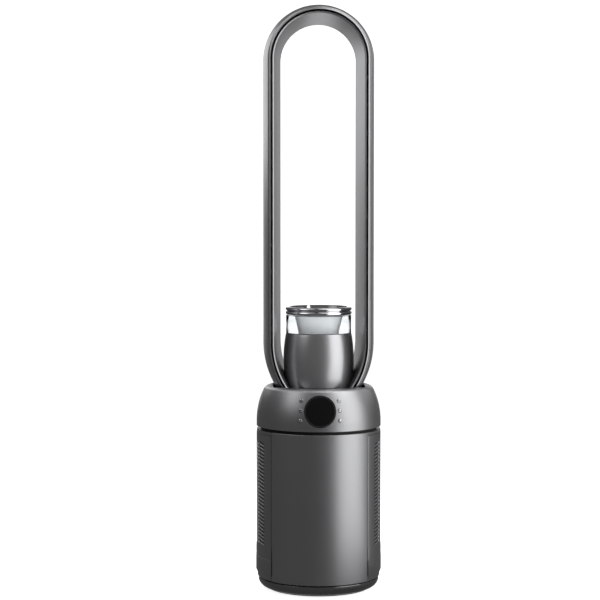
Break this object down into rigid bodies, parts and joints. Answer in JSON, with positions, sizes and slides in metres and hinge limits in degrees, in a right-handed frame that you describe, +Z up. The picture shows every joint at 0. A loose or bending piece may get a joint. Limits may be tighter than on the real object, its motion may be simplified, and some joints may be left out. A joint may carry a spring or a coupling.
{
  "type": "bladeless fan",
  "caption": "Bladeless tower fan: tall rounded air loop on a drum body with side grilles, a mist tank between the loop's legs and a round display on the head.",
  "frame": {"origin": "on the floor under the middle of the foot", "axes": "+Z up the fan, the display looks along -Y, +X to the viewer's right"},
  "size_m": [0.2108, 0.2092, 0.977],
  "materials": {
    "satin_gunmetal": "satin metallic paint",
    "liner_gunmetal": "satin metallic paint",
    "grille_gunmetal": "satin metallic paint",
    "tank_metal": "satin metallic",
    "foot_gunmetal": "gloss metallic paint",
    "shadow_black": "matt",
    "frame_black": "matt",
    "inner_grey": "matt",
    "display_black": "high gloss",
    "key_silver": "satin metallic",
    "polished_chrome": "polished",
    "clear_window": "clear",
    "satin_white": "satin",
    "filter_paper": "pleated, charcoal coated",
    "soft_rubber": "matt",
    "cast_weight": "rough",
    "bright_steel": "brushed",
    "gear_white": "satin",
    "circuit_green": "satin",
    "ceramic_disc": "satin"
  },
  "bodies": {
    "base": {"foot_dish": "foot_gunmetal", "foot_plate": "frame_black", "foot_screws": "bright_steel", "foot_pads": "soft_rubber", "foot_weight": "cast_weight", "glide_ring": "gear_white", "swivel_gear": "gear_white", "pivot_spindle": "bright_steel", "spindle_clip": "bright_steel"},
    "swivel_pinion": {"swivel_pinion": "gear_white"},
    "impeller": {"impeller": "inner_grey", "motor_shaft": "bright_steel", "impeller_nut": "bright_steel"},
    "left_cover": {"left_cover": "grille_gunmetal", "left_filter_frame": "frame_black", "left_filter_pack": "filter_paper"},
    "right_cover": {"right_cover": "grille_gunmetal", "right_filter_frame": "frame_black", "right_filter_pack": "filter_paper"},
    "tank": {"tank_cup": "tank_metal", "water_window": "clear_window", "mist_chimney": "satin_white"},
    "tank_lid": {"tank_lid": "polished_chrome"},
    "left_lower_key": {"left_lower_key": "key_silver"},
    "left_middle_key": {"left_middle_key": "key_silver"},
    "left_upper_key": {"left_upper_key": "key_silver"},
    "right_lower_key": {"right_lower_key": "key_silver"},
    "right_middle_key": {"right_middle_key": "key_silver"},
    "right_upper_key": {"right_upper_key": "key_silver"},
    "tower": {"turntable": "frame_black", "swivel_motor": "bright_steel", "chassis": "frame_black", "front_panel": "satin_gunmetal", "rear_panel": "satin_gunmetal", "left_skirt": "satin_gunmetal", "right_skirt": "satin_gunmetal", "top_collar": "satin_gunmetal", "shadow_ring": "shadow_black", "fan_bucket": "inner_grey", "isolator_ring": "soft_rubber", "motor_pod": "inner_grey", "guide_vane_ring": "inner_grey", "fan_motor": "bright_steel", "plenum": "inner_grey", "head_shell": "satin_gunmetal", "head_deck": "frame_black", "display_lens": "display_black", "display_bezel": "frame_black", "display_board": "circuit_green", "left_key_board": "circuit_green", "right_key_board": "circuit_green", "loop_shell": "satin_gunmetal", "loop_liner": "liner_gunmetal", "leg_gaskets": "soft_rubber", "slot_spacers": "inner_grey", "tank_seat": "frame_black", "mist_disc": "ceramic_disc", "mains_inlet": "shadow_black", "power_board": "circuit_green"}
  },
  "joints": [
    {"name": "base_swivel", "type": "hinge", "parent": "base", "child": "tower", "pos_m": [0, 0, 0.022], "axis": [0, 0, 1], "range_deg": [-45, 45]},
    {"name": "pinion_spin", "type": "hinge", "parent": "tower", "child": "swivel_pinion", "pos_m": [0.045, 0, 0.009], "axis": [0, 0, 1], "range_deg": [-180, 180]},
    {"name": "impeller_spin", "type": "hinge", "parent": "tower", "child": "impeller", "pos_m": [0, 0, 0.13], "axis": [0, 0, 1], "continuous": true},
    {"name": "left_cover_slide", "type": "slide", "parent": "tower", "child": "left_cover", "axis": [-1, 0, 0], "range_m": [0, 0.12]},
    {"name": "right_cover_slide", "type": "slide", "parent": "tower", "child": "right_cover", "axis": [1, 0, 0], "range_m": [0, 0.12]},
    {"name": "tank_lift", "type": "slide", "parent": "tower", "child": "tank", "axis": [0, 0, 1], "range_m": [0, 0.15]},
    {"name": "lid_lift", "type": "slide", "parent": "tank", "child": "tank_lid", "axis": [0, 0, 1], "range_m": [0, 0.05]},
    {"name": "left_lower_key_press", "type": "slide", "parent": "tower", "child": "left_lower_key", "axis": [0.3123, 0.95, 0], "range_m": [0, 0.0006], "stiffness_N_per_m": 500, "springref_m": -0.0006},
    {"name": "left_middle_key_press", "type": "slide", "parent": "tower", "child": "left_middle_key", "axis": [0.3123, 0.95, 0], "range_m": [0, 0.0006], "stiffness_N_per_m": 500, "springref_m": -0.0006},
    {"name": "left_upper_key_press", "type": "slide", "parent": "tower", "child": "left_upper_key", "axis": [0.3123, 0.95, 0], "range_m": [0, 0.0006], "stiffness_N_per_m": 500, "springref_m": -0.0006},
    {"name": "right_lower_key_press", "type": "slide", "parent": "tower", "child": "right_lower_key", "axis": [-0.3123, 0.95, 0], "range_m": [0, 0.0006], "stiffness_N_per_m": 500, "springref_m": -0.0006},
    {"name": "right_middle_key_press", "type": "slide", "parent": "tower", "child": "right_middle_key", "axis": [-0.3123, 0.95, 0], "range_m": [0, 0.0006], "stiffness_N_per_m": 500, "springref_m": -0.0006},
    {"name": "right_upper_key_press", "type": "slide", "parent": "tower", "child": "right_upper_key", "axis": [-0.3123, 0.95, 0], "range_m": [0, 0.0006], "stiffness_N_per_m": 500, "springref_m": -0.0006}
  ],
  "couplings": [
    {"joint": "pinion_spin", "follows": "base_swivel", "ratio": 4}
  ]
}
